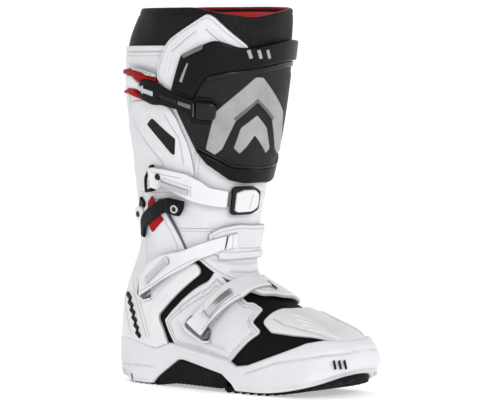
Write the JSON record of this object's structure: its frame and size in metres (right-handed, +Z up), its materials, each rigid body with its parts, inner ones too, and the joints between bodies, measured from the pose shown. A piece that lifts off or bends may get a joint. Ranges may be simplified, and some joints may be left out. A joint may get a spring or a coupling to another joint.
{
  "type": "riding boot",
  "caption": "Tall off-road riding boot for the right foot with a hinged shin plate, pinned buckle straps with levers, a flexing ankle and a moulded sole cage.",
  "frame": {"origin": "on the ground, under the middle of the boot's bounding box", "axes": "+X towards the toe, +Y towards the inner side of the foot, +Z up"},
  "size_m": [0.329, 0.1634, 0.3924],
  "materials": {
    "white_leather": "smooth coated",
    "white_plastic": "semi-gloss moulded",
    "black_fabric": "matt woven",
    "black_plastic": "satin moulded",
    "charcoal_plastic": "matt moulded",
    "rubber": "matt ribbed",
    "red_plastic": "semi-gloss moulded",
    "red_lining": "soft knitted",
    "steel": "brushed",
    "insole_board": "pressed board"
  },
  "bodies": {
    "foot": {"heel_tread": "rubber", "forefoot_tread": "rubber", "arch_rubber": "rubber", "sole_cage": "white_plastic", "steel_shank": "steel", "midsole": "insole_board", "footbed": "insole_board", "foot_upper": "black_fabric", "foot_liner": "red_lining", "heel_counter": "white_plastic", "ankle_guard": "white_leather", "outer_quarter": "white_leather", "inner_quarter": "white_leather", "toe_cap": "white_plastic", "instep_panel": "white_leather", "heel_badge": "black_plastic", "brace_insert": "red_plastic", "brace_screw": "steel", "flex_bellows": "white_leather", "base_3": "steel", "base_4": "steel", "adjuster_3": "white_plastic", "adjuster_4": "white_plastic", "strap_pin_3": "steel", "strap_pin_4": "steel"},
    "leg": {"leg_shell": "white_leather", "soft_collar": "black_fabric", "leg_liner": "red_lining", "peak_panel": "white_leather", "calf_panel": "white_leather", "calf_vent": "rubber", "inner_calf_guard": "rubber", "base_1": "red_plastic", "base_2": "steel"},
    "shin_flap": {"shin_plate": "charcoal_plastic", "shin_frame": "black_plastic", "shin_bumper": "black_plastic", "shin_chevron": "steel", "adjuster_1": "black_plastic", "adjuster_2": "black_plastic", "strap_pin_1": "steel", "strap_pin_2": "steel"},
    "ankle_brace": {"brace_arm": "black_plastic"},
    "strap_1_body": {"strap_1": "black_plastic", "lever_pin_1": "steel"},
    "lever_1_body": {"lever_1": "steel"},
    "strap_2_body": {"strap_2": "white_plastic", "lever_pin_2": "steel"},
    "lever_2_body": {"lever_2": "steel"},
    "strap_3_body": {"strap_3": "white_plastic", "lever_pin_3": "steel"},
    "lever_3_body": {"lever_3": "steel"},
    "strap_4_body": {"strap_4": "white_plastic", "lever_pin_4": "steel"},
    "lever_4_body": {"lever_4": "steel"}
  },
  "joints": [
    {"name": "ankle_flex", "type": "hinge", "parent": "foot", "child": "leg", "pos_m": [-0.072, 0.0029, 0.135], "axis": [0, 1, 0], "range_deg": [-8, 18], "stiffness_Nm_per_rad": 20, "deforming": ["flex_bellows"]},
    {"name": "shin_flap_open", "type": "hinge", "parent": "leg", "child": "shin_flap", "pos_m": [-0.02338, 0.07376, 0.31], "axis": [0.0974, 0.0803, 0.992], "range_deg": [0, 30]},
    {"name": "strap_1_open", "type": "hinge", "parent": "shin_flap", "child": "strap_1_body", "pos_m": [-0.01422, -0.0682, 0.2916], "axis": [0.0988, -0.0904, 0.991], "range_deg": [0, 80]},
    {"name": "lever_1_open", "type": "hinge", "parent": "strap_1_body", "child": "lever_1_body", "pos_m": [-0.07705, -0.08012, 0.31384], "axis": [-0.0242, 0.077, -0.9967], "range_deg": [0, 100]},
    {"name": "strap_2_open", "type": "hinge", "parent": "shin_flap", "child": "strap_2_body", "pos_m": [0.00427, -0.03111, 0.19789], "axis": [0.1897, -0.0403, 0.981], "range_deg": [0, 80]},
    {"name": "lever_2_open", "type": "hinge", "parent": "strap_2_body", "child": "lever_2_body", "pos_m": [-0.06373, -0.06812, 0.21581], "axis": [-0.092, 0.1677, -0.9815], "range_deg": [0, 100]},
    {"name": "strap_3_open", "type": "hinge", "parent": "foot", "child": "strap_3_body", "pos_m": [-0.0007, -0.02832, 0.15438], "axis": [0.2158, 0.0346, 0.9758], "range_deg": [0, 80]},
    {"name": "lever_3_open", "type": "hinge", "parent": "strap_3_body", "child": "lever_3_body", "pos_m": [-0.09497, -0.05377, 0.1084], "axis": [0.183, 0.0314, -0.9826], "range_deg": [0, 100]},
    {"name": "strap_4_open", "type": "hinge", "parent": "foot", "child": "strap_4_body", "pos_m": [0.03404, 0.00158, 0.1109], "axis": [-0.8984, 0.0829, 0.4312], "range_deg": [0, 80]},
    {"name": "lever_4_open", "type": "hinge", "parent": "strap_4_body", "child": "lever_4_body", "pos_m": [-0.01185, -0.05369, 0.07672], "axis": [0.8296, -0.1889, -0.5255], "range_deg": [0, 100]},
    {"name": "brace_turn", "type": "hinge", "parent": "foot", "child": "ankle_brace", "pos_m": [-0.04564, -0.06257, 0.18798], "axis": [-0.1457, 0.9727, 0.1806], "range_deg": [-2, 4]}
  ],
  "couplings": [
    {"joint": "brace_turn", "follows": "ankle_flex", "ratio": 0.2}
  ]
}
